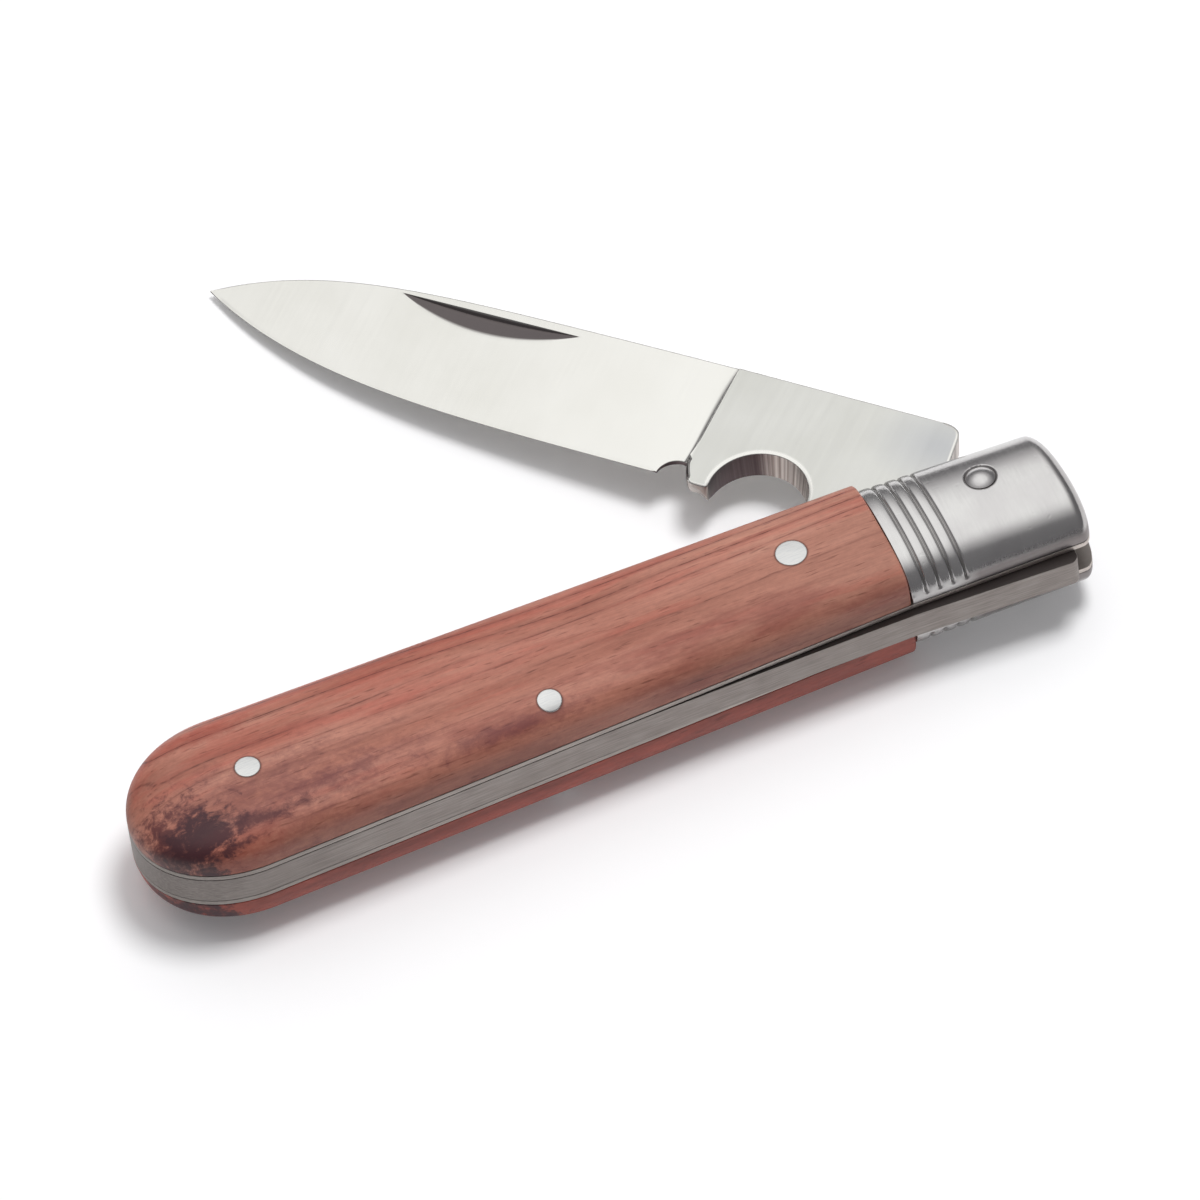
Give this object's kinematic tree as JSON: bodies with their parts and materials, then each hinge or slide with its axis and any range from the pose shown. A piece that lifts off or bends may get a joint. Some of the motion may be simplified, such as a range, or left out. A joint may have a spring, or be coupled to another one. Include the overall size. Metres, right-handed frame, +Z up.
{
  "type": "electrician's folding cable knife",
  "caption": "Folding cable knife with wooden scales, grooved steel bolsters, a backspring, and a spear-shaped blade with a nail nick, a choil and a round stripping notch near its pivot.",
  "frame": {"origin": "bottom centre of the bounding box: the knife lies on its lower scale with the blade swung part way out", "axes": "+X along the handle from the butt to the bolsters, +Y towards the edge that the blade folds into, +Z up, out of the scale that carries the nail nick's side"},
  "size_m": [0.11, 0.0814, 0.0152],
  "materials": {
    "rosewood": "reddish brown hardwood, sanded and oiled, with fine dark grain along the handle",
    "bolster_steel": "pressed steel sheet, polished",
    "liner_steel": "steel sheet, edges ground flush with the handle",
    "spring_steel": "hardened spring steel, its back ground lengthways",
    "blade_steel": "stainless steel, finely ground and polished",
    "pin_aluminium": "aluminium wire, filed flush"
  },
  "bodies": {
    "handle": {"upper_scale": "rosewood", "lower_scale": "rosewood", "upper_liner": "liner_steel", "lower_liner": "liner_steel", "back_spring": "spring_steel", "upper_bolster": "bolster_steel", "lower_bolster": "bolster_steel", "upper_front_pin": "pin_aluminium", "lower_front_pin": "pin_aluminium", "butt_pin": "pin_aluminium", "spring_pin": "pin_aluminium", "pivot_rivet": "bolster_steel"},
    "blade": {"blade": "blade_steel"}
  },
  "joints": [
    {"name": "blade_pivot", "type": "hinge", "parent": "handle", "child": "blade", "pos_m": [0.04567, -0.0291, 0.00758], "axis": [0, 0, 1], "range_deg": [-134, 43.5]}
  ]
}
